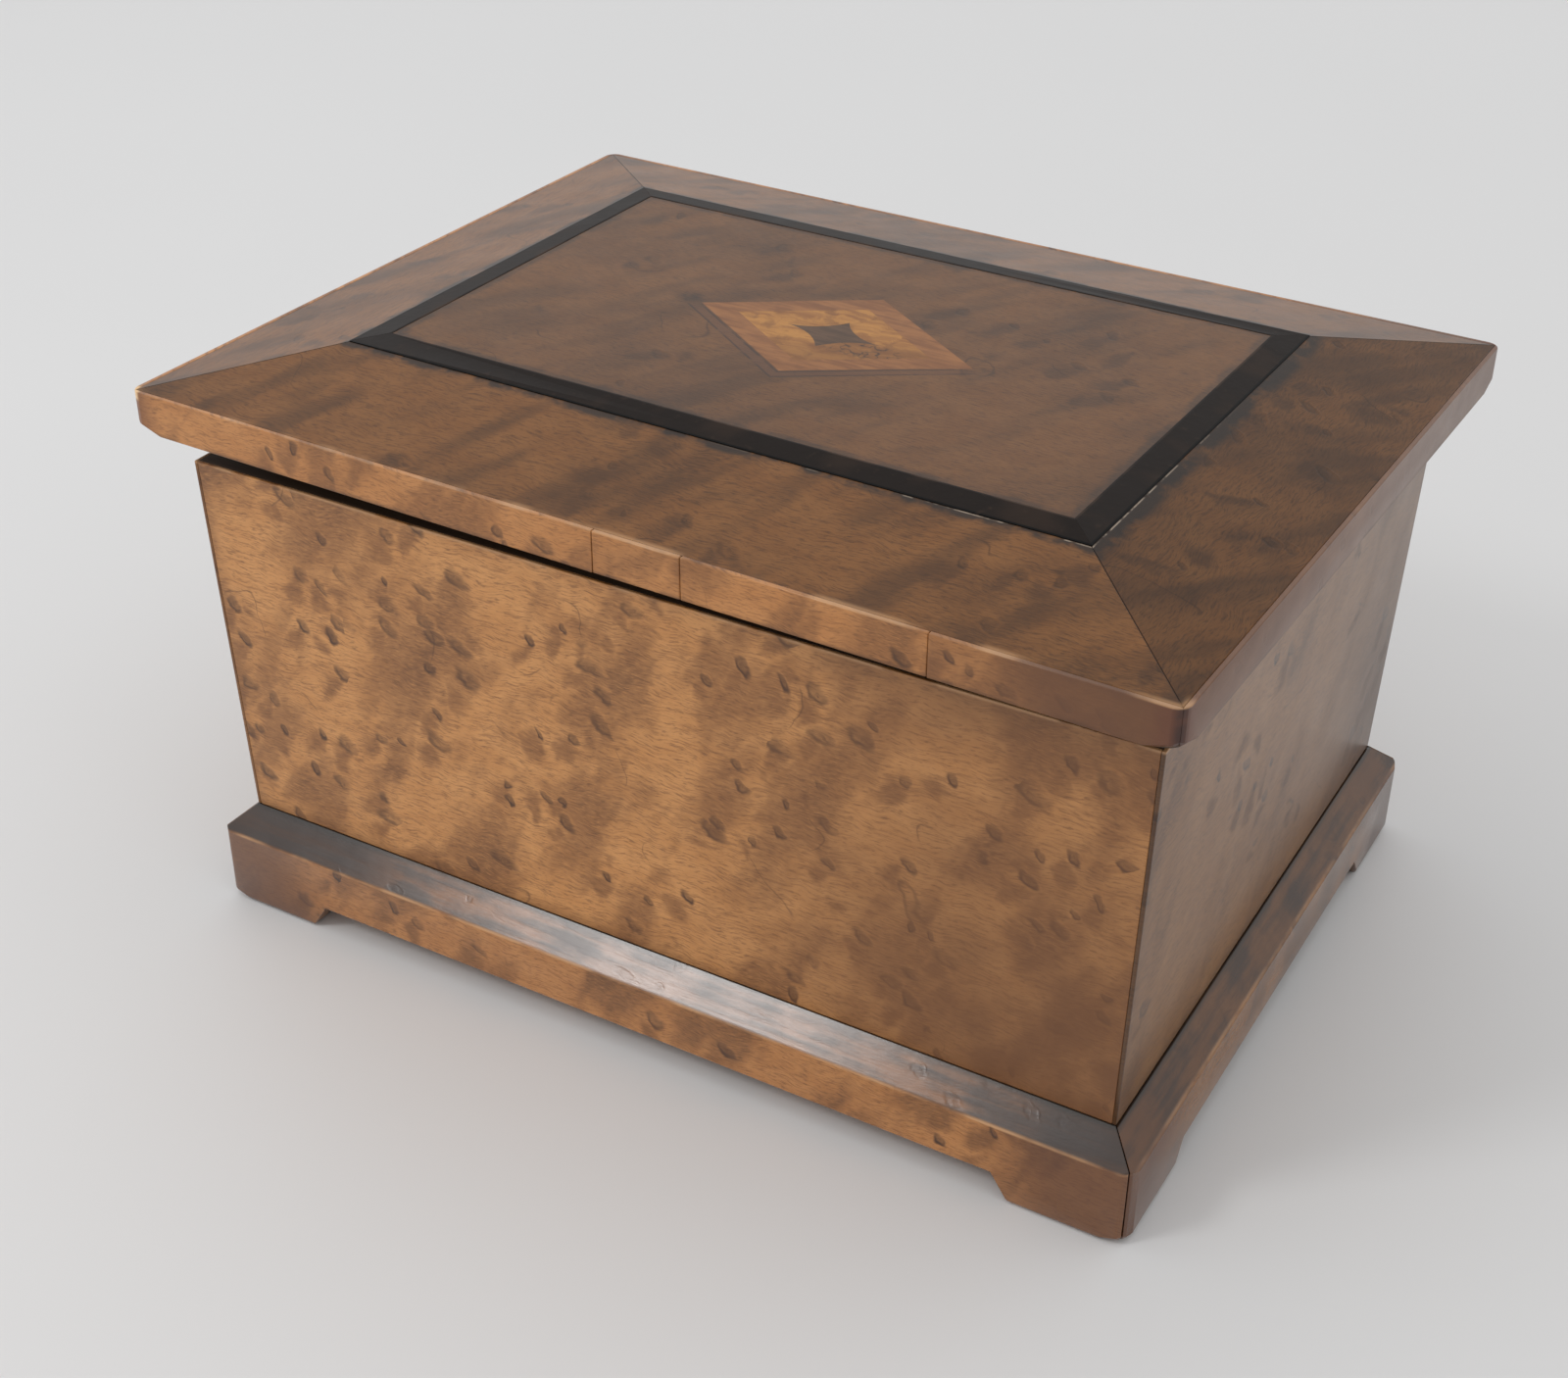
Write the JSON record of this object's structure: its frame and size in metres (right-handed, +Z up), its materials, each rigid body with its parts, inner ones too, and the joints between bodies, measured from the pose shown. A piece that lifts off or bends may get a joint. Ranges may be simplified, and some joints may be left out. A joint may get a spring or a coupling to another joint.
{
  "type": "puzzle box",
  "caption": "Veneered wooden puzzle box on a bracket-foot plinth, with a level-swinging lid, a hidden lock pin and a plinth drawer.",
  "frame": {"origin": "middle of the base, on the surface that the box stands on", "axes": "+X along the long side to the viewer's right, +Y to the back, +Z up"},
  "size_m": [0.2803, 0.2107, 0.1577],
  "materials": {
    "case_veneer": "polished figured veneer",
    "plinth_veneer": "polished figured veneer, worn on the arris",
    "lid_veneer": "polished figured veneer, darkened",
    "lid_edge_veneer": "polished figured veneer",
    "ebonised_strip": "ebonised, polished",
    "lozenge_border": "polished inlay",
    "lozenge_field": "polished burr inlay",
    "lozenge_star": "polished dark inlay",
    "lining_wood": "oiled",
    "ground_wood": "bare",
    "brass": "satin"
  },
  "bodies": {
    "case": {"back_veneer": "case_veneer", "back_wall": "ground_wood", "base_board": "ground_wood", "case_bottom": "ground_wood", "drawer_stop": "ground_wood", "front_veneer": "case_veneer", "front_wall": "ground_wood", "left_veneer": "case_veneer", "left_wall": "ground_wood", "lock_block": "ground_wood", "neck_back": "lining_wood", "neck_front": "lining_wood", "neck_left": "lining_wood", "neck_right": "lining_wood", "pivot_block": "ground_wood", "pivot_bush": "brass", "plinth_back": "plinth_veneer", "plinth_front": "plinth_veneer", "plinth_left": "plinth_veneer", "right_veneer": "case_veneer", "right_wall": "ground_wood"},
    "lid": {"band_back": "ebonised_strip", "band_front": "ebonised_strip", "band_left": "ebonised_strip", "band_right": "ebonised_strip", "lid_core": "ground_wood", "lid_edge_back": "lid_edge_veneer", "lid_edge_front_1": "lid_edge_veneer", "lid_edge_front_2": "lid_edge_veneer", "lid_edge_front_3": "lid_edge_veneer", "lid_edge_front_4": "lid_edge_veneer", "lid_edge_left": "lid_edge_veneer", "lid_edge_right": "lid_edge_veneer", "lid_panel": "lid_veneer", "lid_rail_back": "lid_veneer", "lid_rail_front": "lid_veneer", "lid_rail_left": "lid_veneer", "lid_rail_right": "lid_veneer", "lid_stop": "ground_wood", "lozenge_border": "lozenge_border", "lozenge_field": "lozenge_field", "lozenge_star": "lozenge_star", "pivot_pin": "brass", "pivot_washer": "brass", "pivot_collar": "brass", "lock_keeper": "brass"},
    "plinth_drawer": {"drawer_back": "lining_wood", "drawer_bottom": "lining_wood", "drawer_front": "plinth_veneer", "drawer_side_back": "lining_wood", "drawer_side_front": "lining_wood"},
    "lock": {"lock_pin": "brass", "lock_button": "brass"}
  },
  "joints": [
    {"name": "lid_swing", "type": "hinge", "parent": "case", "child": "lid", "pos_m": [0.101, 0.066, 0.1385], "axis": [0, 0, 1], "range_deg": [-110, 1.2]},
    {"name": "plinth_drawer_slide", "type": "slide", "parent": "case", "child": "plinth_drawer", "axis": [1, 0, 0], "range_m": [0, 0.12]},
    {"name": "lock_pin_slide", "type": "slide", "parent": "case", "child": "lock", "axis": [0, 0, 1], "range_m": [0, 0.007]}
  ]
}
